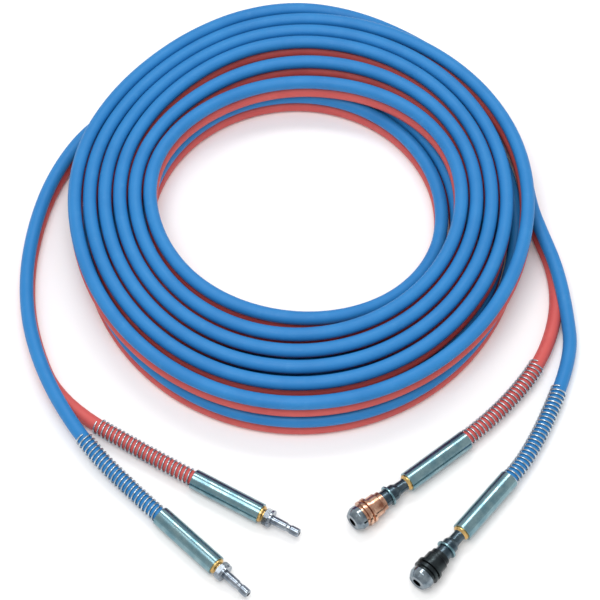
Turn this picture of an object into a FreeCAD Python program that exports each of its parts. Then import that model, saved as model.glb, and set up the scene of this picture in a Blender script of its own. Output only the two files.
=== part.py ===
import FreeCAD, Part
import math
import os

# Twin gas hose set: a blue and a red hose laid one on the other, wound in a flat coil on the floor.
# Each hose ends in a plug at one end and in a quick coupler at the other, behind a long sleeve and
# a spring guard. All sizes are in mm. The coil is worked out about its own centre, and the whole
# part is then moved so that its origin is at the middle of its box, on the floor.

# Hose
hose_od = 13.0
barb_bore = 6.5

# Coil, as turns counted from the plug end
pair_gap = 0.5
level_gap = 1.0
inner_radius = 141.0
lower_loop_gap = 2.8
upper_loop_gap = 1.4
lower_turns = 5.375
upper_turns = 6.0
start_angle = 225.0
climb_turns = 0.5
climb_rounding = 0.07
climb_tuck = 4.0
level_shift = 8.0
drop_turns = 0.36
swing_turns = 0.6
swing_out = 13.0
flat_depth = 0.5
end_lift_turns = 0.12

# Sleeve crimped over the hose end
ferrule_length = 70.0
ferrule_od = 18.6
ferrule_hose_gap = 0.2
ferrule_edge_share = 0.6
guard_seat_depth = 6.0
guard_seat_gap = 0.35

# Spring guard
guard_wire = 1.5
guard_hose_gap = 0.3
guard_curls = 25
guard_pitch = 4.4

# Brass insert
insert_collar_od = 15.6
insert_collar_length = 1.2
insert_cone_od = 12.0
insert_front = 3.0
insert_barb_gap = 0.1
insert_barb_depth = 0.5
insert_barb_pitch = 6.0
insert_barbs = 4
barb_land = 1.0
barb_room_spare = 1.0
insert_bore = 4.0
spigot_od = 9.0
spigot_length = 6.0
spigot_gap = 0.1

# Plug
washer_thickness = 1.0
washer_od = 12.0
hex_flats = 15.0
hex_length = 5.0
hex_chamfer_share = 0.48
hex_chamfer_length = 1.2
flange_od = 17.0
flange_length = 2.5
flange_edge = 0.5
probe_od = 8.2
probe_length = 28.0
probe_groove_place = 17.0
probe_groove_width = 2.6
probe_groove_depth = 0.7
probe_tip_round = 1.6
probe_bore = 4.0

# Coupler, with places measured along its axis from the front face of the sleeve on the hose
probe_gap = 0.08
neck_od = 10.6
neck_length = 9.0
neck_growth = 0.4
neck_flare_length = 1.5
neck_flare_height = 0.6
adaptor_front = 17.0
adaptor_spigot_od = 11.6
adaptor_spigot_length = 4.0
adaptor_bore = 5.0
adaptor_shoulder_length = 1.5
disc_rear = 21.0
disc_thickness = 2.0
disc_height = 2.2
disc_gap = 0.05
disc_edge_share = 0.3
valve_chamber_od = 9.6
seat_rear = 33.0
seat_thickness = 2.0
seat_hole = 6.6
sleeve_rear = 30.0
sleeve_rear_wall = 1.7
sleeve_rear_length = 4.0
sleeve_step = 1.0
sleeve_wall = 1.5
rib_height = 2.0
rib_width = 2.2
rib_slope = 0.6
rib_places = (14.6, 19.2)
sleeve_gap = 0.08
sleeve_travel = 4.0
spring_room_depth = 1.5
spring_room_rear = 6.0
spring_room_length = 9.0
lock_land_length = 3.8
release_room_depth = 1.4
release_room_spare = 1.2
stop_ring_thickness = 1.0
stop_ring_gap = 0.3
stop_ring_rim_gap = 0.3
stop_groove_depth = 0.7
nose_gap = 0.2
nose_step = 0.8
nose_front_wall = 1.0
nose_length = 10.0
nose_straight_share = 0.45
nose_shoulder_share = 0.8
nose_shoulder_height = 1.1
nose_tip_drop = 0.4
nose_edge = 0.8
nose_lip = 2.2
nose_thread_depth = 1.5
nose_thread_gap = 0.05
ball_count = 6
ball_gap = 0.06
ball_od = 3.2
ball_lock_edge = 0.8
seal_thickness = 1.6
seal_place = 43.0
seal_gap = 0.05
poppet_room_od = 9.2
poppet_room_gap = 0.2

# Valve in the coupler
poppet_head_gap = 0.1
poppet_head_length = 1.8
poppet_nose_od = 6.2
poppet_travel = 4.0
poppet_tip_length = 1.0
poppet_tip_depth = 0.8
valve_seal_thickness = 0.7
valve_spring_wall = 0.9
hidden_spring_gap = 0.15
touch_gap = 0.03

# Where the hoses run to their end fittings, measured from the coil's end that each run leaves.
# The last point is the front face of the sleeve on the hose.
plug_routes = {
    "red": [(-25.5, -26.0, 0.0), (-56.0, -72.0, 0.0), (-82.0, -123.0, 0.0), (-97.0, -180.0, 0.0),
            (-98.0, -239.0, 0.0), (-81.0, -293.0, 0.9), (-53.0, -347.0, 2.3), (32.6, -416.3, 2.8),
            (124.0, -468.0, 2.9)],
    "blue": [(-25.5, -26.0, 0.0), (-56.0, -72.0, 0.0), (-82.0, -123.0, 0.0), (-98.0, -178.0, 0.0),
             (-105.0, -210.0, -1.0), (-108.5, -241.0, -3.8), (-94.5, -299.0, -11.0), (-69.5, -354.0, -11.2),
             (8.6, -446.0, -10.7), (85.0, -518.0, -10.6)],
}
coupler_routes = {
    "red": [(2.1, -52.0, 0.0), (2.8, -92.0, 0.0), (-0.1, -143.6, 2.1), (-60.3, -229.6, 2.1),
            (-142.4, -295.0, 4.9)],
    "blue": [(2.4, -38.0, 0.1), (11.1, -70.0, -1.8), (16.6, -102.0, -9.2), (15.8, -167.2, -11.4),
             (-27.3, -264.0, -11.4), (-95.4, -344.0, -8.6)],
}
least_bend = 5.0
corner_share = 0.45

# Spacing of the points that stand for a hose or a guard wire
frame_spacing = 2.0
guard_spacing = 0.6
hose_spacing = 3.0

# Block under the floor that the lowest loops are pressed against
floor_side = 1200.0
floor_depth = 50.0

# Sizes that follow from the ones above
hose_radius = hose_od / 2
pair_rise = hose_od + pair_gap
level_rise = 2 * hose_od + pair_gap + level_gap
lower_pitch = hose_od + lower_loop_gap
upper_pitch = hose_od + upper_loop_gap
coil_turns = lower_turns + upper_turns
guard_radius = hose_radius + guard_hose_gap + guard_wire / 2
guard_od = 2 * guard_radius + guard_wire
bore_radius = probe_od / 2 + probe_gap
body_od = 2 * (bore_radius + ball_od + 2 * ball_gap)
adaptor_od = body_od
disc_od = body_od + 2 * disc_height
sleeve_rear_od = body_od + 2 * sleeve_rear_wall
spring_room_od = body_od + 2 * spring_room_depth
release_room_od = body_od + 2 * release_room_depth
sleeve_od = spring_room_od + 2 * sleeve_wall
rib_od = sleeve_od + 2 * rib_height
nose_od = sleeve_od + 2 * nose_step
nose_front_od = body_od + 2 * nose_front_wall
nose_thread_radius = body_od / 2 - nose_thread_depth
lock_land_front = sleeve_rear + spring_room_rear + spring_room_length + lock_land_length
sleeve_front = lock_land_front + sleeve_travel + release_room_spare
coupler_front = sleeve_front + nose_gap + nose_length
body_front = coupler_front - nose_lip
ball_place = lock_land_front - ball_lock_edge
seat_front = seat_rear + seat_thickness
poppet_nose_reach = seat_front + poppet_travel
bore_rear = poppet_nose_reach + poppet_room_gap

parts = {}
routes = {}
centre_lines = []
fittings = []


def ease(share):
    share = min(1.0, max(0.0, share))
    return share * share * (3 - 2 * share)


def loop_point(colour, turn):
    # The lower loops wind in, the hoses climb a level at the inside, and the upper loops wind out.
    from_climb = turn - lower_turns
    pitch = lower_pitch if from_climb < 0 else upper_pitch
    radius = inner_radius + pitch * (math.hypot(from_climb, climb_rounding) - climb_rounding)
    radius -= climb_tuck * (1 - ease(abs(from_climb)))
    radius += swing_out * ease((turn - coil_turns + swing_turns) / swing_turns)
    level = ease(from_climb / climb_turns + 0.5)
    drop = ease((turn - coil_turns + drop_turns) / drop_turns)
    lift = 1 - ease(turn / end_lift_turns) + ease((turn - coil_turns + end_lift_turns) / end_lift_turns)
    angle = math.radians(start_angle + 360 * turn)
    x = radius * math.cos(angle)
    y = -radius * math.sin(angle) + level_shift * (2 * level - 1)
    z = hose_radius - flat_depth * (1 - lift) + level_rise * (level - drop)
    if colour == "blue":
        z += pair_rise
    return FreeCAD.Vector(x, y, z)


def loop_tangent(colour, turn):
    step = 0.0005
    return (loop_point(colour, turn + step) - loop_point(colour, turn - step)).normalize()


def arc_edge(start, tangent, end):
    # One arc that leaves the start along the tangent and reaches the end, or a line if it is straight.
    chord = end - start
    aside = chord - tangent * chord.dot(tangent)
    if aside.Length < 1e-5 * chord.Length:
        return Part.LineSegment(start, end).toShape()
    inward = FreeCAD.Vector(aside).normalize()
    radius = chord.dot(chord) / (2 * chord.dot(inward))
    centre = start + inward * radius
    outward = ((start - centre) + (end - centre)).normalize()
    return Part.Arc(start, centre + outward * radius, end).toShape()


def biarc(start, start_tangent, end, end_tangent):
    chord = end - start
    both = start_tangent + end_tangent
    spread = 2 * (1 - start_tangent.dot(end_tangent))
    along = chord.dot(both)
    if spread < 1e-9:
        reach = chord.dot(chord) / (2 * along)
    else:
        reach = (math.sqrt(along * along + spread * chord.dot(chord)) - along) / spread
    middle = (start + start_tangent * reach + end - end_tangent * reach) * 0.5
    second = arc_edge(end, end_tangent * -1, middle)
    second.reverse()
    return [arc_edge(start, start_tangent, middle), second]


def tube(edges, radius, place, direction):
    path = Part.Wire(edges)
    ring = Part.Wire([Part.Circle(place, direction, radius).toShape()])
    return path, path.makePipeShell([ring], True, False)


def spread_points(wire, spacing):
    # Points along a wire, each with its distance from the wire's start.
    points = []
    walked = 0.0
    for edge in wire.OrderedEdges:
        count = max(1, int(math.ceil(edge.Length / spacing)))
        found = edge.discretize(count + 1)
        if edge.Orientation == "Reversed":
            found = found[::-1]
        for index, point in enumerate(found[:-1]):
            points.append((walked + edge.Length * index / count, point))
        walked += edge.Length
    return points


def least_gap(points, others, apart, thickness, cell):
    # The smallest gap between tubes of one thickness along two rows of points, found cell by cell.
    cells = {}
    for walked, point in others:
        key = (math.floor(point.x / cell), math.floor(point.y / cell), math.floor(point.z / cell))
        cells.setdefault(key, []).append((walked, point))
    best = 10 * cell
    for walked, point in points:
        home = (math.floor(point.x / cell), math.floor(point.y / cell), math.floor(point.z / cell))
        for step in range(27):
            key = (home[0] + step % 3 - 1, home[1] + step // 3 % 3 - 1, home[2] + step // 9 - 1)
            for other_walked, other in cells.get(key, []):
                if abs(walked - other_walked) > apart:
                    best = min(best, point.distanceToPoint(other))
    return best - thickness


def rounded_path(points):
    # Straight runs with an arc at each point, which takes up a set share of the shorter run.
    edges = []
    radii = []
    here = points[0]
    for before, corner, after in zip(points, points[1:], points[2:]):
        coming = (corner - before).normalize()
        going = (after - corner).normalize()
        turn = coming.getAngle(going)
        cut = corner_share * min((corner - before).Length, (after - corner).Length)
        radii.append(cut / math.tan(turn / 2))
        arc_start = corner - coming * cut
        arc_end = corner + going * cut
        edges.append(Part.LineSegment(here, arc_start).toShape())
        edges.append(arc_edge(arc_start, coming, arc_end))
        here = arc_end
    edges.append(Part.LineSegment(here, points[-1]).toShape())
    return edges, radii


def coil(colour):
    # The coil's ends run straight for one diameter, in line with the first run of each tail.
    first = loop_point(colour, 0)
    last = loop_point(colour, coil_turns)
    inlet = FreeCAD.Vector(*plug_routes[colour][0]).normalize() * -1
    outlet = FreeCAD.Vector(*coupler_routes[colour][0]).normalize()
    steps = round(4 * coil_turns)
    edges = [Part.LineSegment(first - inlet * hose_od, first).toShape()]
    for index in range(steps):
        turn = coil_turns * index / steps
        next_turn = coil_turns * (index + 1) / steps
        start_tangent = inlet if index == 0 else loop_tangent(colour, turn)
        end_tangent = outlet if index == steps - 1 else loop_tangent(colour, next_turn)
        edges += biarc(loop_point(colour, turn), start_tangent,
                       loop_point(colour, next_turn), end_tangent)
    edges.append(Part.LineSegment(last, last + outlet * hose_od).toShape())
    wire, shape = tube(edges, hose_radius, first - inlet * hose_od, inlet)
    points = spread_points(wire, hose_spacing)
    gap = least_gap(points, points, 2 * math.pi * inner_radius / 2, hose_od, 2 * hose_od)
    print(colour, "coil: length", round(wire.Length), "mm, least gap to itself", round(gap, 2), "mm")
    compare_volume(colour + " coil", shape, wire, hose_radius)
    routes[colour] = {"plug": first - inlet * hose_od, "coupler": last + outlet * hose_od, "coil": points}
    centre_lines.append(wire)
    parts[colour + "_hose_coil"] = shape


def compare_volume(name, shape, wire, radius):
    expected = math.pi * radius ** 2 * wire.Length
    print(name, "volume over section times length", round(shape.Volume / expected, 4),
          "valid" if shape.isValid() else "not valid")


def tail(colour, end, route):
    coil_end = loop_point(colour, 0 if end == "plug" else coil_turns)
    points = [routes[colour][end]] + [coil_end + FreeCAD.Vector(*point) for point in route]
    edges, radii = rounded_path(points)
    wire, shape = tube(edges, hose_radius, points[0], points[1] - points[0])
    print(colour, end, "tail: length", round(wire.Length), "mm, radii", [round(r) for r in radii])
    if min(radii) < least_bend * hose_od:
        print(colour, end, "tail bends tighter than", least_bend, "diameters")
    compare_volume(colour + " " + end + " tail", shape, wire, hose_radius)
    axis = (points[-1] - points[-2]).normalize()
    barb_room = insert_barbs * insert_barb_pitch + barb_room_spare
    bore = Part.makeCylinder(barb_bore / 2, barb_room, points[-1] - axis * barb_room, axis)
    parts[colour + "_" + end + "_tail"] = shape.cut(bore)
    routes[colour][end + " wire"] = wire
    centre_lines.append(wire)
    return points[-1], axis, wire


def path_frames(wire, spacing):
    # Walks the wire backwards from its end, carrying a side vector along without twist.
    forward = spread_points(wire, spacing) + [(wire.Length, wire.OrderedVertexes[-1].Point)]
    backward = [(wire.Length - walked, point) for walked, point in reversed(forward)]
    frames = []
    side = FreeCAD.Vector(0, 0, 1)
    for index, (walked, point) in enumerate(backward):
        ahead = backward[min(index + 1, len(backward) - 1)][1]
        behind = backward[max(index - 1, 0)][1]
        tangent = (ahead - behind).normalize()
        side = (side - tangent * side.dot(tangent)).normalize()
        frames.append((walked, point, side, tangent))
    return frames


def frame_at(frames, walked):
    index = 0
    while index < len(frames) - 2 and frames[index + 1][0] < walked:
        index += 1
    near, far = frames[index], frames[index + 1]
    share = (walked - near[0]) / (far[0] - near[0])
    place = near[1] + (far[1] - near[1]) * share
    side = (near[2] + (far[2] - near[2]) * share).normalize()
    tangent = (near[3] + (far[3] - near[3]) * share).normalize()
    return place, side, tangent


def spring_guard(colour, end, wire):
    # A wire wound round the hose, from its seat in the sleeve back along the hose.
    frames = path_frames(wire, frame_spacing)
    seat = ferrule_length - guard_seat_depth + guard_wire

    def guard_point(curl):
        place, side, tangent = frame_at(frames, seat + guard_pitch * curl)
        angle = 2 * math.pi * curl
        across = tangent.cross(side)
        return place + (side * math.cos(angle) + across * math.sin(angle)) * guard_radius

    def guard_tangent(curl):
        step = 0.01
        return (guard_point(curl + step) - guard_point(curl - step)).normalize()

    start = guard_point(0)
    edges = [Part.LineSegment(start - guard_tangent(0) * guard_wire, start).toShape()]
    for index in range(2 * guard_curls):
        curl = index / 2
        edges += biarc(guard_point(curl), guard_tangent(curl), guard_point(curl + 0.5), guard_tangent(curl + 0.5))
    finish = guard_point(guard_curls)
    edges.append(Part.LineSegment(finish, finish + guard_tangent(guard_curls) * guard_wire).toShape())
    guard_wire_path, shape = tube(edges, guard_wire / 2, start - guard_tangent(0) * guard_wire, guard_tangent(0))
    points = spread_points(guard_wire_path, guard_spacing)
    gap = least_gap(points, points, math.pi * guard_radius, guard_wire, 2 * guard_pitch)
    print(colour, end, "guard: least gap to itself", round(gap, 2), "mm")
    compare_volume(colour + " " + end + " guard", shape, guard_wire_path, guard_wire / 2)
    parts[colour + "_" + end + "_spring_guard"] = shape


def turned(outline):
    # A solid turned about the fitting's axis, from (place along the axis, radius) points.
    corners = [FreeCAD.Vector(radius, 0, place) for place, radius in outline]
    face = Part.Face(Part.makePolygon(corners + corners[:1]))
    return face.revolve(FreeCAD.Vector(0, 0, 0), FreeCAD.Vector(0, 0, 1), 360)


def ring(rear, front, inner, outer):
    return turned([(rear, inner), (front, inner), (front, outer), (rear, outer)])


def round_edges(shape, radius, places, edge_radius):
    # Rounds the circular edges of one radius that lie at the given places along the axis.
    chosen = []
    for edge in shape.Edges:
        if not hasattr(edge.Curve, "Radius") or abs(edge.Curve.Radius - edge_radius) > 1e-6:
            continue
        if any(abs(edge.Curve.Center.z - place) < 1e-6 for place in places):
            chosen.append(edge)
    return shape.makeFillet(radius, chosen)


def ferrule():
    bore = hose_radius + ferrule_hose_gap
    seat = guard_od / 2 + guard_seat_gap
    shoulder = -ferrule_length + guard_seat_depth
    outer = ferrule_od / 2
    shape = turned([(0, bore), (0, outer), (-ferrule_length, outer), (-ferrule_length, seat),
                    (shoulder, seat), (shoulder, bore)])
    # The outer edges are rounded by a share of the thin wall round the guard.
    return round_edges(shape, ferrule_edge_share * (outer - seat), (0, -ferrule_length), outer)


def insert():
    barb = barb_bore / 2 - insert_barb_gap
    outline = [(insert_front + spigot_length, insert_bore / 2), (insert_front + spigot_length, spigot_od / 2),
               (insert_front, spigot_od / 2), (insert_front, insert_cone_od / 2),
               (insert_collar_length, insert_collar_od / 2), (0, insert_collar_od / 2), (0, barb)]
    for index in range(insert_barbs):
        root = -index * insert_barb_pitch
        outline += [(root - barb_land, barb), (root - barb_land, barb - insert_barb_depth)] if index == 0 else []
        outline += [(root - insert_barb_pitch + barb_land, barb - insert_barb_depth),
                    (root - insert_barb_pitch + barb_land, barb),
                    (root - insert_barb_pitch, barb - insert_barb_depth)]
    outline.append((-insert_barbs * insert_barb_pitch, insert_bore / 2))
    return turned(outline)


def plug_washer():
    return ring(insert_front, insert_front + washer_thickness, spigot_od / 2 + spigot_gap, washer_od / 2)


def plug_body():
    rear = insert_front + washer_thickness
    flange = rear + hex_length
    probe = flange + flange_length
    tip = probe + probe_length
    socket = insert_front + spigot_length + spigot_gap
    socket_radius = spigot_od / 2 + spigot_gap
    hexagon = Part.makePolygon([FreeCAD.Vector(hex_flats / math.sqrt(3) * math.cos(math.radians(60 * side)),
                                               hex_flats / math.sqrt(3) * math.sin(math.radians(60 * side)), rear)
                                for side in range(7)])
    nut = Part.Face(hexagon).extrude(FreeCAD.Vector(0, 0, hex_length))
    nut = nut.common(turned([(rear, 0), (rear, hex_chamfer_share * hex_flats),
                             (rear + hex_chamfer_length, hex_flats / math.sqrt(3)),
                             (flange, hex_flats / math.sqrt(3)), (flange, 0)]))
    groove = probe + probe_groove_place
    radius = probe_od / 2
    floor = radius - probe_groove_depth
    shaft = turned([(flange, 0), (flange, flange_od / 2), (probe, flange_od / 2), (probe, radius),
                    (groove - probe_groove_width, radius), (groove - probe_groove_width / 2, floor),
                    (groove + probe_groove_width / 2, floor), (groove + probe_groove_width, radius),
                    (tip, radius), (tip, 0)])
    shaft = round_edges(shaft, probe_tip_round, (tip,), radius)
    shaft = round_edges(shaft, flange_edge, (flange, probe), flange_od / 2)
    bores = turned([(rear, 0), (rear, socket_radius), (socket, socket_radius), (socket, probe_bore / 2),
                    (tip, probe_bore / 2), (tip, 0)])
    return nut.fuse(shaft).cut(bores).removeSplitter()


def coupler_adaptor():
    neck_start = insert_front + neck_flare_length
    socket = insert_front + spigot_length + spigot_gap
    return turned([(insert_front, spigot_od / 2 + spigot_gap), (socket, spigot_od / 2 + spigot_gap),
                   (socket, adaptor_bore / 2), (adaptor_front + adaptor_spigot_length, adaptor_bore / 2),
                   (adaptor_front + adaptor_spigot_length, adaptor_spigot_od / 2),
                   (adaptor_front, adaptor_spigot_od / 2), (adaptor_front, adaptor_od / 2),
                   (adaptor_front - adaptor_shoulder_length, adaptor_od / 2),
                   (insert_front + neck_length, neck_od / 2 + neck_growth), (neck_start, neck_od / 2),
                   (insert_front, neck_od / 2 + neck_flare_height)])


def collar_disc():
    disc = ring(disc_rear, disc_rear + disc_thickness, body_od / 2 + disc_gap, disc_od / 2)
    return round_edges(disc, disc_edge_share * disc_thickness, (disc_rear, disc_rear + disc_thickness), disc_od / 2)


def stop_ring_rear():
    return sleeve_rear + spring_room_rear + stop_ring_gap


def coupler_body():
    socket = adaptor_front + adaptor_spigot_length
    stop = stop_ring_rear() - touch_gap
    groove_front = stop + stop_ring_thickness + 2 * touch_gap
    groove_floor = body_od / 2 - stop_groove_depth
    seal_front = seal_place + seal_thickness / 2 + seal_gap
    seal_rear = seal_place - seal_thickness / 2 - seal_gap
    seal_floor = bore_radius + seal_thickness + seal_gap
    outer = turned([(adaptor_front, adaptor_spigot_od / 2 + spigot_gap), (adaptor_front, body_od / 2),
                    (stop, body_od / 2), (stop, groove_floor), (groove_front, groove_floor),
                    (groove_front, body_od / 2), (sleeve_front + nose_gap, body_od / 2),
                    (sleeve_front + nose_gap, nose_thread_radius), (body_front, nose_thread_radius),
                    (body_front, bore_radius), (seal_front, bore_radius), (seal_front, seal_floor),
                    (seal_rear, seal_floor), (seal_rear, bore_radius), (bore_rear, bore_radius),
                    (bore_rear, poppet_room_od / 2), (seat_front, poppet_room_od / 2),
                    (seat_front, seat_hole / 2), (seat_rear, seat_hole / 2), (seat_rear, valve_chamber_od / 2),
                    (socket, valve_chamber_od / 2), (socket, adaptor_spigot_od / 2 + spigot_gap)])
    for index in range(ball_count):
        angle = 2 * math.pi * index / ball_count
        outward = FreeCAD.Vector(math.cos(angle), math.sin(angle), 0)
        hole = Part.makeCylinder(ball_od / 2 + ball_gap, body_od, FreeCAD.Vector(0, 0, ball_place), outward)
        outer = outer.cut(hole)
    return outer


def lock_balls():
    centre = bore_radius + ball_gap + ball_od / 2
    balls = []
    for index in range(ball_count):
        angle = 2 * math.pi * index / ball_count
        place = FreeCAD.Vector(centre * math.cos(angle), centre * math.sin(angle), ball_place)
        balls.append(Part.makeSphere(ball_od / 2, place))
    return Part.makeCompound(balls)


def stop_ring():
    rear = stop_ring_rear()
    inner = body_od / 2 - stop_groove_depth + touch_gap
    return ring(rear, rear + stop_ring_thickness, inner, spring_room_od / 2 - stop_ring_rim_gap)


def nose_ring():
    rear = sleeve_front + nose_gap
    thread = nose_thread_radius + nose_thread_gap
    straight = rear + nose_straight_share * nose_length
    shape = turned([(rear, thread), (rear, nose_od / 2), (straight, nose_od / 2),
                    (rear + nose_shoulder_share * nose_length, nose_front_od / 2 + nose_shoulder_height),
                    (coupler_front, nose_front_od / 2 - nose_tip_drop),
                    (coupler_front, bore_radius), (body_front, bore_radius), (body_front, thread)])
    return round_edges(shape, nose_edge, (rear, straight), nose_od / 2)


def release_sleeve():
    inner = body_od / 2 + sleeve_gap
    room_rear = sleeve_rear + spring_room_rear
    room_front = room_rear + spring_room_length
    step = sleeve_rear + sleeve_rear_length
    outline = [(sleeve_rear, inner), (sleeve_rear, sleeve_rear_od / 2), (step, sleeve_rear_od / 2),
               (step + sleeve_step, sleeve_od / 2)]
    for place in rib_places:
        rib = sleeve_rear + place
        outline += [(rib - rib_slope, sleeve_od / 2), (rib, rib_od / 2), (rib + rib_width, rib_od / 2),
                    (rib + rib_width + rib_slope, sleeve_od / 2)]
    outline += [(sleeve_front, sleeve_od / 2), (sleeve_front, release_room_od / 2),
                (lock_land_front, release_room_od / 2), (lock_land_front, inner), (room_front, inner),
                (room_front, spring_room_od / 2), (room_rear, spring_room_od / 2), (room_rear, inner)]
    return turned(outline)


def sleeve_spring():
    rear = stop_ring_rear() + stop_ring_thickness + touch_gap
    front = sleeve_rear + spring_room_rear + spring_room_length - touch_gap
    return ring(rear, front, body_od / 2 + hidden_spring_gap, spring_room_od / 2 - hidden_spring_gap)


def valve_poppet():
    head_front = seat_rear - valve_seal_thickness - 2 * touch_gap
    head_rear = head_front - poppet_head_length
    head = valve_chamber_od / 2 - poppet_head_gap
    nose = poppet_nose_od / 2
    return turned([(head_rear, 0), (head_rear, head), (head_front, head), (head_front, nose),
                   (poppet_nose_reach - poppet_tip_length, nose),
                   (poppet_nose_reach, nose - poppet_tip_depth), (poppet_nose_reach, 0)])


def valve_seal():
    front = seat_rear - touch_gap
    inner = poppet_nose_od / 2 + touch_gap
    return ring(front - valve_seal_thickness, front, inner, valve_chamber_od / 2 - poppet_head_gap)


def valve_spring():
    rear = adaptor_front + adaptor_spigot_length + touch_gap
    front = seat_rear - valve_seal_thickness - 3 * touch_gap - poppet_head_length
    outer = valve_chamber_od / 2 - hidden_spring_gap
    return ring(rear, front, outer - valve_spring_wall, outer)


def bore_seal():
    rear = seal_place - seal_thickness / 2
    return ring(rear, rear + seal_thickness, bore_radius, bore_radius + seal_thickness)


def place_fitting(name, shape, place, axis):
    shape.Placement = FreeCAD.Placement(place, FreeCAD.Rotation(FreeCAD.Vector(0, 0, 1), axis))
    parts[name] = shape
    fittings.append(shape)


def sleeved_end(colour, end, route):
    place, axis, wire = tail(colour, end, route)
    spring_guard(colour, end, wire)
    place_fitting(colour + "_" + end + "_ferrule", ferrule(), place, axis)
    place_fitting(colour + "_" + end + "_insert", insert(), place, axis)
    return place, axis


def plug(colour):
    place, axis = sleeved_end(colour, "plug", plug_routes[colour])
    place_fitting(colour + "_plug_washer", plug_washer(), place, axis)
    place_fitting(colour + "_plug_body", plug_body(), place, axis)


def coupler(colour):
    place, axis = sleeved_end(colour, "coupler", coupler_routes[colour])
    pieces = {
        "coupler_adaptor": coupler_adaptor(),
        "coupler_collar_disc": collar_disc(),
        "coupler_body": coupler_body(),
        "coupler_nose_ring": nose_ring(),
        "release_sleeve": release_sleeve(),
        "sleeve_spring": sleeve_spring(),
        "stop_ring": stop_ring(),
        "lock_balls": lock_balls(),
        "valve_poppet": valve_poppet(),
        "valve_seal": valve_seal(),
        "valve_spring": valve_spring(),
        "bore_seal": bore_seal(),
    }
    for name, shape in pieces.items():
        place_fitting(colour + "_" + name, shape, place, axis)


def hose_gap():
    # The least gap between the blue and the red hose along their whole length.
    rows = []
    for colour in ("blue", "red"):
        row = list(routes[colour]["coil"])
        for end in ("plug", "coupler"):
            row += spread_points(routes[colour][end + " wire"], hose_spacing)
        rows.append(row)
    return least_gap(rows[0], rows[1], -1, hose_od, 2 * hose_od)


def whole_box():
    # The box round the hoses' centre lines, thickened by the hose, and round the fittings.
    box = FreeCAD.BoundBox()
    for line in centre_lines:
        line_box = line.BoundBox
        line_box.enlarge(hose_radius)
        box.add(line_box)
    for fitting in fittings:
        box.add(fitting.optimalBoundingBox(False, False))
    return box


for colour in ("blue", "red"):
    coil(colour)
    plug(colour)
    coupler(colour)

# The lowest loops are pressed flat where they lie on the floor.
floor_cut = Part.makeBox(floor_side, floor_side, floor_depth,
                         FreeCAD.Vector(-floor_side / 2, -floor_side / 2, -floor_depth))
parts["red_hose_coil"] = parts["red_hose_coil"].cut(floor_cut)

print("least gap between the hoses", round(hose_gap(), 2), "mm")

box = whole_box()
origin_shift = FreeCAD.Vector(-box.Center.x, -box.Center.y, 0)
print("box", round(box.XLength, 1), round(box.YLength, 1), round(box.ZMax, 1))
print("coil centre in the part's frame", round(origin_shift.x, 3), round(origin_shift.y, 3))

os.makedirs("parts", exist_ok=True)
for name, shape in parts.items():
    shape.translate(origin_shift)
    shape.exportStep("parts/" + name + ".step")
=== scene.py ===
import math

import bpy
import bmesh
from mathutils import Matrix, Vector


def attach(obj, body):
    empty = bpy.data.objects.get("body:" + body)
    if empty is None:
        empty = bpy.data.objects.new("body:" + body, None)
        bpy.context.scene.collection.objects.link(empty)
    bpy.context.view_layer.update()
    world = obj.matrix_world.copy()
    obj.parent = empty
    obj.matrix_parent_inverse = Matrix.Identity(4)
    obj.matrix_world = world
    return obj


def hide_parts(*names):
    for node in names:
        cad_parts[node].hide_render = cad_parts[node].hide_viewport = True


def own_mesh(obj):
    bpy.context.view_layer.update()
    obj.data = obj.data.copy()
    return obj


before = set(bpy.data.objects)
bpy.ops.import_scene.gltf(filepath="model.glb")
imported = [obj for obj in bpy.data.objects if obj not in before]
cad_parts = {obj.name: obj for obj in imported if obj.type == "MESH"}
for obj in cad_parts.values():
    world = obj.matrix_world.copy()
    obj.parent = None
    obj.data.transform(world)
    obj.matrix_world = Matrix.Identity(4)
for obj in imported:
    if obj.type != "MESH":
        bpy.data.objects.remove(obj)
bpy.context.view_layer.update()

# The scene is in metres. Hose, coil, sleeve, spring and route sizes are in millimetres, like those
# in the part's own source, and MM turns them into metres.
MM = 0.001

# Hose sizes, the same as in the part's source. The pair rise is from the red hose to the blue one
# on it, and the level rise is from the lower loops to the upper ones.
hose_od = 13.0
pair_rise = 13.5
level_rise = 27.5

# The coil, as turns counted from the plug end. It lies within two hose widths of the part's solid
# coil, and follows the photograph more closely: its loops are looser and not quite round. A swell
# takes a loop outwards and a tuck takes it inwards, on the side that its name says: near, far,
# left or right as the camera sees the coil, or the corner that is far and left. The flat depth is
# how much lower the coil lies than a round hose on the ground, and at its two ends it rises to that.
coil_centre = (5.289, 75.457)
start_angle = 225.0
coil_turns = 11.375
points_per_turn = 24
inner_radius = 141.0
flat_depth = 0.5
end_lift_turns = 0.12

# The lower loops, which wind in
lower_turns = 5.375
lower_pitch = 13.7
lower_near_swell = 3.2
lower_right_swell = 0.6
lower_side_shift = 3.0
side_shift_turns = 0.8

# The climb from the lower loops to the upper ones
climb_turns = 0.4
climb_late = 0.13
climb_tuck = 5.0
climb_tuck_turns = 0.4
level_shift = 8.0

# The upper loops, which wind out. Turns are counted here from the end of the lower loops.
upper_pitch = 14.4
upper_near_swell = 2.6
left_tuck = 3.5
far_tuck = 4.0
first_far_tuck = 22.0
first_far_turns = 2.0
first_far_until = 2.75
corner_tuck = 3.0
corner_tuck_per_turn = 0.9
first_red_tuck = 1.5
red_tuck = 7.5
red_tuck_from = 0.5
red_tuck_grows = 1.5
red_tuck_until = 4.1
red_tuck_fades = 0.7
last_right_swell = 6.0
last_near_swell = 3.0
last_swell_from = 4.5
last_swell_turns = 0.5

# The drop at the end, from the upper loops down to the lower level, and the tuck after it
drop_start = 0.264
drop_turns = 0.154
end_tuck = 10.8

# Sleeve and spring guard sizes
ferrule_length = 70.0
guard_seat_depth = 6.0
guard_wire = 1.5
guard_radius = 7.55
guard_curls = 25
guard_pitch = 4.4
guard_spare = 20.0

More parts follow.
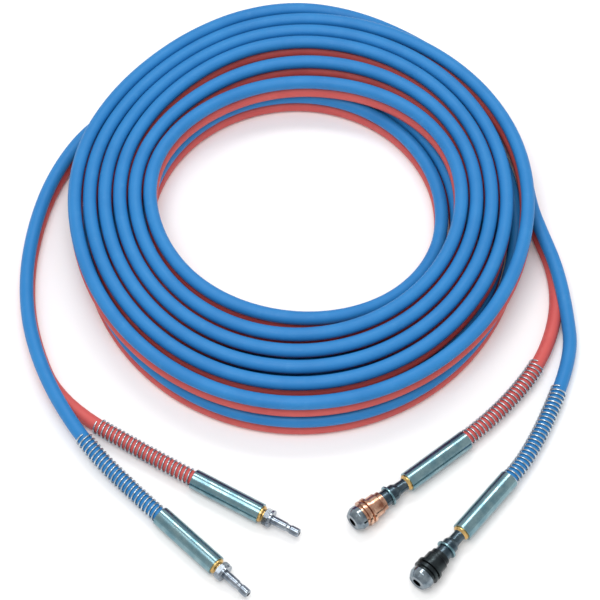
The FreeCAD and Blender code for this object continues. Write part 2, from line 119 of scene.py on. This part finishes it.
# The inner springs: how many curls of wire the spring behind each release sleeve and each valve has
inner_spring_curls = {"sleeve": 2, "valve": 4}

# How finely the splines are made: points in a turn of wire, steps between two points, and how
# round the tubes are
wire_steps = 20
wire_resolution = 2
hose_resolution = 8
guard_roundness = 2
inner_spring_roundness = 3
hose_roundness = 6

# Where the hoses run from the coil to their end fittings. The last point is the front face of the
# sleeve on the hose, and the point before it lies in the long straight sleeve.
plug_routes = {
    "red": [(-178.0, 194.0, 6.5), (-212.1, 162.9, 6.5), (-239.1, 110.9, 6.5),
            (-253.1, 52.9, 6.5), (-256.6, -5.1, 6.5), (-247.1, -62.1, 6.5),
            (-218.1, -130.1, 7.2), (-121.1, -189.9, 9.3), (-73.2, -216.9, 9.4),
            (-29.69, -241.57, 9.4)],
    "blue": [(-178.0, 194.0, 20.0), (-212.1, 162.9, 20.0), (-239.1, 110.9, 20.0),
             (-253.1, 52.9, 20.0), (-256.6, -5.1, 20.0), (-248.1, -63.1, 20.0),
             (-224.1, -123.1, 19.5), (-186.1, -179.1, 13.0), (-145.1, -219.6, 9.3),
             (-105.1, -257.3, 9.4), (-68.69, -291.57, 9.4)],
}
coupler_routes = {
    "red": [(237.0, 54.0, 6.5), (250.0, 12.0, 6.5), (250.0, -34.0, 7.0), (231.0, -88.0, 8.6),
            (190.0, -139.0, 8.6), (141.4, -180.4, 10.1), (102.29, -211.54, 11.4)],
    "blue": [(237.5, 54.5, 20.0), (251.0, 12.0, 19.0), (258.5, -33.0, 12.0), (260.5, -84.0, 8.6),
             (217.4, -180.5, 8.6), (181.7, -222.4, 10.1), (149.29, -260.54, 11.4)],
}


def linear(red, green, blue):
    # A colour as it shows on a screen, 0 to 255, in the light values that the shaders take.
    values = []
    for shown in (red, green, blue):
        share = shown / 255
        values.append(share / 12.92 if share <= 0.04045 else ((share + 0.055) / 1.055) ** 2.4)
    return (*values, 1.0)


# Each hose: its colour, a darker shade of it, and the dusty look of a scuff
hose_colours = {
    "blue": (linear(42, 126, 190), linear(33, 114, 178), linear(80, 150, 202)),
    "red": (linear(206, 92, 88), linear(190, 78, 78), linear(216, 134, 126)),
}

# Each metal: colour, tint of its film, least roughness, metallic share
metals = {
    "zinc_steel": (linear(134, 162, 168), linear(98, 134, 146), 0.15, 1.0),
    "spring_wire": (linear(206, 214, 218), linear(150, 166, 176), 0.18, 1.0),
    "brass": (linear(222, 192, 126), linear(190, 150, 92), 0.2, 1.0),
    "plug_steel": (linear(172, 180, 188), linear(112, 122, 134), 0.09, 1.0),
    "coupler_steel": (linear(84, 98, 106), linear(56, 70, 80), 0.2, 1.0),
    "chrome": (linear(142, 154, 162), linear(76, 90, 102), 0.1, 1.0),
    "copper_sleeve": (linear(224, 184, 158), linear(140, 92, 72), 0.16, 1.0),
    "black_sleeve": (linear(56, 64, 66), linear(28, 32, 36), 0.24, 0.9),
}
metal_of_node = {
    "plug_ferrule": "zinc_steel",
    "coupler_ferrule": "zinc_steel",
    "plug_insert": "brass",
    "coupler_insert": "brass",
    "plug_washer": "brass",
    "plug_body": "plug_steel",
    "coupler_adaptor": "coupler_steel",
    "coupler_collar_disc": "zinc_steel",
    "coupler_body": "coupler_steel",
    "coupler_nose_ring": "chrome",
    "stop_ring": "coupler_steel",
    "lock_balls": "chrome",
    "valve_poppet": "brass",
}
metal_of_release_sleeve = {"blue": "black_sleeve", "red": "copper_sleeve"}
rubber_nodes = ("valve_seal", "bore_seal")

# The camera that fits the photograph: its place in metres, its angle below the horizontal, and
# its lens on a sensor 36 mm wide
camera_place = (0.0053, -0.9594, 1.6135)
camera_dip = 59.64
camera_lens = 117.0
sensor_width = 36.0

# Each lamp: width, depth, power, place, in metres and watts. Both point at the part's middle.
lamps = {
    "key": (1.1, 0.8, 13.5, (-0.2, -0.45, 1.75)),
    "strip": (1.1, 0.3, 8.0, (0.05, 0.75, 1.6)),
}

# The world's light at the horizon and above
horizon_light = (0.95, 0.95, 0.95, 1.0)
upper_light = (0.7, 0.7, 0.7, 1.0)

# The floor's reach from the middle in metres, and its shades
floor_reach = 12.0
floor_squares = 40
floor_shades = ((0.96, 0.96, 0.96, 1.0), (0.985, 0.985, 0.985, 1.0))


def make_camera():
    data = bpy.data.cameras.new("camera")
    data.sensor_width = sensor_width
    data.lens = camera_lens
    data.clip_end = 100.0
    camera = bpy.data.objects.new("camera", data)
    camera.location = camera_place
    camera.rotation_euler = (math.radians(90.0 - camera_dip), 0.0, 0.0)
    bpy.context.collection.objects.link(camera)
    bpy.context.scene.camera = camera


def ease(share):
    share = min(1.0, max(0.0, share))
    return share * share * (3 - 2 * share)


def keeps_out(steps):
    # A smooth spline lies inside the control points of a loop. This factor on the points' radius
    # brings it back out to the radius that is meant.
    return 1 / math.cos(math.pi / steps)


def loop_point(colour, turn, spread):
    # The lower loops wind in, the hoses climb a level at the inside, and the upper loops wind out.
    from_climb = turn - lower_turns
    to_end = coil_turns - turn
    angle = math.radians(start_angle + 360 * turn)
    near = max(0.0, math.sin(angle))
    far = max(0.0, -math.sin(angle))
    left = max(0.0, -math.cos(angle))
    right = max(0.0, math.cos(angle))
    pitch = lower_pitch if from_climb < 0 else upper_pitch
    swell = lower_near_swell if from_climb < 0 else upper_near_swell
    radius = inner_radius + pitch * abs(from_climb) + swell * abs(from_climb) * near ** 2
    radius -= climb_tuck * (1 - ease(abs(from_climb - climb_late) / climb_tuck_turns))
    if from_climb < 0:
        radius -= lower_right_swell * from_climb * right ** 2
    else:
        first_loops = ease((first_far_until - from_climb) / first_far_turns)
        radius -= (far_tuck + first_far_tuck * first_loops) * far ** 2
        radius -= left_tuck * left ** 2
        radius -= (corner_tuck + corner_tuck_per_turn * from_climb) * (2 * far * left) ** 2
        last_loop = ease((from_climb - last_swell_from) / last_swell_turns)
        radius += last_loop * (last_right_swell * right ** 2 + last_near_swell * near ** 2)
    past_drop = drop_start - to_end
    drop = ease(past_drop / drop_turns)
    radius -= end_tuck * ease((past_drop - drop_turns) / (drop_start - drop_turns))
    level = ease((from_climb - climb_late) / climb_turns + 0.5)
    if colour == "red":
        # Near the camera the red hose lies further in than the blue one on it, out of sight.
        grown = ease((from_climb - red_tuck_from) / red_tuck_grows)
        tuck = first_red_tuck + (red_tuck - first_red_tuck) * grown
        radius -= tuck * near ** 5 * level * ease((red_tuck_until - from_climb) / red_tuck_fades)
    lift = 1 - ease(turn / end_lift_turns) + ease(1 - to_end / end_lift_turns)
    side_shift = lower_side_shift * ease(-from_climb / side_shift_turns)
    x = radius * spread * math.cos(angle) - side_shift + coil_centre[0]
    y = -radius * spread * math.sin(angle) + level_shift * (2 * level - 1) + coil_centre[1]
    z = hose_od / 2 - flat_depth * (1 - lift) + level_rise * (level - drop)
    if colour == "blue":
        z += pair_rise
    return Vector((x, y, z))


def hose_points(colour):
    plug_side = [Vector(point) for point in plug_routes[colour]]
    coupler_side = [Vector(point) for point in coupler_routes[colour]]
    spread = keeps_out(points_per_turn)
    steps = round(coil_turns * points_per_turn)
    loops = [loop_point(colour, index / points_per_turn, spread) for index in range(steps + 1)]
    return [point * MM for point in plug_side[::-1] + loops + coupler_side]


def fitting_axis(colour, end):
    # The front face of a crimped sleeve, and the direction in which the fitting points there.
    routes = plug_routes if end == "plug" else coupler_routes
    behind, front = (Vector(point) * MM for point in routes[colour][-2:])
    return front, (front - behind).normalized()


def spline_object(name, points, thickness, resolution):
    # The points carry the thickness, so that the spline's box is that of its tube.
    data = bpy.data.curves.new(name, "CURVE")
    data.dimensions = "3D"
    spline = data.splines.new("NURBS")
    spline.points.add(len(points) - 1)
    for control, place in zip(spline.points, points):
        control.co = (*place, 1.0)
        control.radius = thickness / 2
    spline.order_u = 3
    spline.use_endpoint_u = True
    data.resolution_u = resolution
    spline.resolution_u = resolution
    curve = bpy.data.objects.new(name, data)
    bpy.context.collection.objects.link(curve)
    return curve


def places_along(curve):
    # The points of the smooth line, taken before it gets its thickness.
    line = bpy.data.meshes.new_from_object(curve)
    places = [vertex.co.copy() for vertex in line.vertices]
    bpy.data.meshes.remove(line)
    return places


def make_round(curve, roundness):
    curve.data.bevel_depth = 1.0
    curve.data.bevel_resolution = roundness
    curve.data.use_fill_caps = True


def walk(places):
    # For each place: the length walked to it, the place, a side vector carried along without
    # twist, and the direction of the line.
    rows = []
    side = Vector((0, 0, 1))
    walked = 0.0
    for index, place in enumerate(places):
        ahead = places[min(index + 1, len(places) - 1)]
        behind = places[max(index - 1, 0)]
        tangent = (ahead - behind).normalized()
        side = (side - tangent * side.dot(tangent)).normalized()
        if index:
            walked += (place - places[index - 1]).length
        rows.append((walked, place, side.copy(), tangent))
    return rows


def frame_at(rows, walked):
    # The place, side vector and direction at a walked length, between the two nearest rows.
    index = 0
    while index < len(rows) - 2 and rows[index + 1][0] < walked:
        index += 1
    near, far = rows[index], rows[index + 1]
    share = (walked - near[0]) / (far[0] - near[0])
    place, side, tangent = (near[part].lerp(far[part], share) for part in (1, 2, 3))
    return place, side.normalized(), tangent.normalized()


def spring_guard(name, places):
    # A wire wound round the hose, from its seat in the sleeve back along the hose.
    reach = (ferrule_length + guard_curls * guard_pitch + guard_spare) * MM
    rows = walk(places)
    last = next(index for index, row in enumerate(rows) if row[0] > reach)
    rows = rows[:last + 1]
    seat = (ferrule_length - guard_seat_depth + guard_wire) * MM
    wind = guard_radius * keeps_out(wire_steps) * MM
    points = []
    for index in range(guard_curls * wire_steps + 1):
        curl = index / wire_steps
        place, side, tangent = frame_at(rows, seat + guard_pitch * curl * MM)
        across = tangent.cross(side)
        angle = 2 * math.pi * curl
        out = side * math.cos(angle) + across * math.sin(angle)
        points.append(place + out * wind)
    guard = spline_object(name, points, guard_wire * MM, wire_resolution)
    make_round(guard, guard_roundness)
    return guard


def wound_spring(node, place, axis, curls):
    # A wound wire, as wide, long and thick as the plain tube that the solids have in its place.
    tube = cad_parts[node]
    spots = [tube.matrix_world @ vertex.co - place for vertex in tube.data.vertices]
    along = [spot.dot(axis) for spot in spots]
    widths = [(spot - axis * spot.dot(axis)).length for spot in spots]
    rear, front = min(along), max(along)
    length = front - rear
    wire = max(widths) - min(widths)
    wind = (max(widths) + min(widths)) / 2 * keeps_out(wire_steps)
    side = axis.cross(Vector((0, 0, 1))).normalized()
    across = axis.cross(side)
    steps = curls * wire_steps
    points = []
    for index in range(steps + 1):
        angle = 2 * math.pi * index / wire_steps
        reach = rear + wire / 2 + (length - wire) * index / steps
        out = side * math.cos(angle) + across * math.sin(angle)
        points.append(place + axis * reach + out * wind)
    line = spline_object(node + "_line", points, wire, wire_resolution)
    make_round(line, inner_spring_roundness)
    mesh = bpy.data.meshes.new_from_object(line)
    bpy.data.objects.remove(line)
    spring = bpy.data.objects.new(node + "_wire", mesh)
    bpy.context.collection.objects.link(spring)
    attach(spring, "hose_set")
    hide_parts(node)
    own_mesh(spring)
    return spring


def start_material(name):
    made = bpy.data.materials.new(name)
    made.use_nodes = True
    tree = made.node_tree
    tree.nodes.clear()
    output = tree.nodes.new("ShaderNodeOutputMaterial")
    shader = tree.nodes.new("ShaderNodeBsdfPrincipled")
    tree.links.new(shader.outputs["BSDF"], output.inputs["Surface"])
    return made, tree, shader


def object_place(tree):
    return tree.nodes.new("ShaderNodeTexCoord").outputs["Object"]


def stretched(tree, vector, scale):
    mapping = tree.nodes.new("ShaderNodeMapping")
    mapping.inputs["Scale"].default_value = scale
    tree.links.new(vector, mapping.inputs["Vector"])
    return mapping.outputs["Vector"]


def noise(tree, vector, scale, detail=3.0, rough=0.5):
    texture = tree.nodes.new("ShaderNodeTexNoise")
    texture.inputs["Scale"].default_value = scale
    texture.inputs["Detail"].default_value = detail
    texture.inputs["Roughness"].default_value = rough
    tree.links.new(vector, texture.inputs["Vector"])
    return texture.outputs["Fac"]


def spread_between(tree, value, low, high, new_low, new_high):
    # Values from low to high become values from the new low to the new high, and stay within them.
    ranged = tree.nodes.new("ShaderNodeMapRange")
    ranged.inputs["From Min"].default_value = low
    ranged.inputs["From Max"].default_value = high
    ranged.inputs["To Min"].default_value = new_low
    ranged.inputs["To Max"].default_value = new_high
    tree.links.new(value, ranged.inputs["Value"])
    return ranged.outputs["Result"]


def blended(tree, share, first, second):
    # A mix of two colours, each either fixed or the output of a node.
    mixed = tree.nodes.new("ShaderNodeMix")
    mixed.data_type = "RGBA"
    for socket, colour in (("A_Color", first), ("B_Color", second)):
        entry = next(item for item in mixed.inputs if item.identifier == socket)
        if isinstance(colour, tuple):
            entry.default_value = colour
        else:
            tree.links.new(colour, entry)
    factor = next(item for item in mixed.inputs if item.identifier == "Factor_Float")
    tree.links.new(share, factor)
    return next(item for item in mixed.outputs if item.identifier == "Result_Color")


def raised(tree, shader, rows):
    # Bumps laid over each other. Each row has its heights and the depth of their full range in m.
    normal = None
    for height, depth in rows:
        bump = tree.nodes.new("ShaderNodeBump")
        bump.inputs["Strength"].default_value = 1.0
        bump.inputs["Distance"].default_value = depth
        tree.links.new(height, bump.inputs["Height"])
        if normal:
            tree.links.new(normal, bump.inputs["Normal"])
        normal = bump.outputs["Normal"]
    tree.links.new(normal, shader.inputs["Normal"])


def hose_material(name, colour, dark, dusty):
    # A rubber cover: patches of a darker shade, a few dusty scuffs, a fine grain and worn spots.
    made, tree, shader = start_material(name)
    place = object_place(tree)
    patches = noise(tree, place, scale=28.0, detail=4.0)
    scuffs = noise(tree, place, scale=75.0, detail=6.0, rough=0.65)
    grain = noise(tree, place, scale=1400.0, detail=2.0)
    worn = noise(tree, place, scale=160.0, detail=5.0, rough=0.6)
    tinted = blended(tree, spread_between(tree, patches, 0.35, 0.65, 0.0, 0.55), colour, dark)
    scuffed = blended(tree, spread_between(tree, scuffs, 0.58, 0.72, 0.0, 0.2), tinted, dusty)
    tree.links.new(scuffed, shader.inputs["Base Color"])
    tree.links.new(spread_between(tree, worn, 0.3, 0.7, 0.42, 0.58), shader.inputs["Roughness"])
    shader.inputs["Specular IOR Level"].default_value = 0.3
    raised(tree, shader, [(grain, 0.00003), (worn, 0.00012)])
    return made


def fitting_place(tree, place, axis):
    # Places measured from the front of the sleeve, with X along the fitting's own axis.
    mapping = tree.nodes.new("ShaderNodeMapping")
    mapping.vector_type = "TEXTURE"
    mapping.inputs["Location"].default_value = place
    mapping.inputs["Rotation"].default_value = axis.to_track_quat("X", "Z").to_euler()
    tree.links.new(object_place(tree), mapping.inputs["Vector"])
    return mapping.outputs["Vector"]


def metal_material(name, place, axis, colour, tint, rough, metallic):
    # A turned metal: fine marks round the axis, a film of varying tint, small scratches.
    made, tree, shader = start_material(name)
    local = fitting_place(tree, place, axis)
    marks = noise(tree, stretched(tree, local, (2600.0, 40.0, 40.0)), scale=1.0, rough=0.6)
    film = noise(tree, local, scale=95.0, detail=4.0, rough=0.6)
    specks = noise(tree, local, scale=900.0, rough=0.55)
    tinted = blended(tree, spread_between(tree, film, 0.35, 0.68, 0.0, 1.0), colour, tint)
    tree.links.new(tinted, shader.inputs["Base Color"])
    shader.inputs["Metallic"].default_value = metallic
    roughness = spread_between(tree, film, 0.3, 0.7, rough, rough + 0.12)
    tree.links.new(roughness, shader.inputs["Roughness"])
    raised(tree, shader, [(marks, 0.000005), (specks, 0.000004)])
    return made


def metal_for(colour, end, metal):
    # Each fitting has its own copy of a metal, because the turned marks run round its own axis.
    name = "_".join((colour, end, metal))
    made = bpy.data.materials.get(name)
    if made is None:
        made = metal_material(name, *fitting_axis(colour, end), *metals[metal])
    return made


def rubber_material():
    made, tree, shader = start_material("seal_rubber")
    grain = noise(tree, object_place(tree), scale=1200.0)
    speckled = blended(tree, grain, linear(22, 22, 24), linear(38, 38, 40))
    tree.links.new(speckled, shader.inputs["Base Color"])
    tree.links.new(spread_between(tree, grain, 0.3, 0.7, 0.5, 0.7), shader.inputs["Roughness"])
    raised(tree, shader, [(grain, 0.00002)])
    return made


def repaint(node, made):
    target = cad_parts[node]
    target.data.materials.clear()
    target.data.materials.append(made)


def light_scene():
    world = bpy.data.worlds.new("world")
    bpy.context.scene.world = world
    world.use_nodes = True
    tree = world.node_tree
    tree.nodes.clear()
    output = tree.nodes.new("ShaderNodeOutputWorld")
    sky = tree.nodes.new("ShaderNodeBackground")
    coordinates = tree.nodes.new("ShaderNodeTexCoord")
    height = tree.nodes.new("ShaderNodeSeparateXYZ")
    tree.links.new(coordinates.outputs["Generated"], height.inputs["Vector"])
    share = spread_between(tree, height.outputs["Z"], 0.05, 0.4, 0.0, 1.0)
    tree.links.new(blended(tree, share, horizon_light, upper_light), sky.inputs["Color"])
    tree.links.new(sky.outputs["Background"], output.inputs["Surface"])
    for name, (width, depth, power, place) in lamps.items():
        light = bpy.data.lights.new(name, "AREA")
        light.shape = "RECTANGLE"
        light.size = width
        light.size_y = depth
        light.energy = power
        lamp = bpy.data.objects.new(name, light)
        lamp.location = place
        lamp.rotation_euler = (-lamp.location).to_track_quat("-Z", "Y").to_euler()
        bpy.context.collection.objects.link(lamp)


def lay_floor():
    mesh = bpy.data.meshes.new("floor")
    work = bmesh.new()
    bmesh.ops.create_grid(work, x_segments=floor_squares, y_segments=floor_squares,
                          size=floor_reach)
    work.to_mesh(mesh)
    work.free()
    floor = bpy.data.objects.new("floor", mesh)
    # The lowest loops are flat underneath in the solids. Here they are round, so the floor is
    # lower by as much.
    floor.location = (0.0, 0.0, -flat_depth * MM)
    bpy.context.collection.objects.link(floor)
    made, tree, shader = start_material("pale_floor")
    share = noise(tree, object_place(tree), scale=3.0, detail=2.0)
    tree.links.new(blended(tree, share, *floor_shades), shader.inputs["Base Color"])
    shader.inputs["Roughness"].default_value = 0.9
    shader.inputs["Specular IOR Level"].default_value = 0.0
    mesh.materials.append(made)


def dress_hose(colour, rubber):
    # One hose with its guards, and the looks of all pieces at its two ends.
    hose = spline_object(colour + "_hose", hose_points(colour), hose_od * MM, hose_resolution)
    line = places_along(hose)
    make_round(hose, hose_roundness)
    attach(hose, "hose_set")
    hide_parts(colour + "_hose_coil", colour + "_plug_tail", colour + "_coupler_tail")
    hose.data.materials.append(hose_material(colour + "_hose_cover", *hose_colours[colour]))
    for end, places in (("plug", line), ("coupler", line[::-1])):
        guard = spring_guard(colour + "_" + end + "_guard_wire", places)
        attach(guard, "hose_set")
        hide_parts(colour + "_" + end + "_spring_guard")
        guard.data.materials.append(metal_for(colour, end, "spring_wire"))
    for node, metal in metal_of_node.items():
        end = "plug" if node.startswith("plug") else "coupler"
        repaint(colour + "_" + node, metal_for(colour, end, metal))
    release_sleeve_metal = metal_for(colour, "coupler", metal_of_release_sleeve[colour])
    repaint(colour + "_release_sleeve", release_sleeve_metal)
    for node in rubber_nodes:
        repaint(colour + "_" + node, rubber)
    place, axis = fitting_axis(colour, "coupler")
    for piece, curls in inner_spring_curls.items():
        name = colour + "_" + piece
        spring = wound_spring(name + "_spring", place, axis, curls)
        spring.data.materials.append(metal_for(colour, "coupler", "spring_wire"))


bpy.context.scene.view_settings.view_transform = "Standard"
make_camera()
light_scene()
lay_floor()
seal_rubber = rubber_material()
for hose_colour in ("blue", "red"):
    dress_hose(hose_colour, seal_rubber)

bpy.context.view_layer.update()
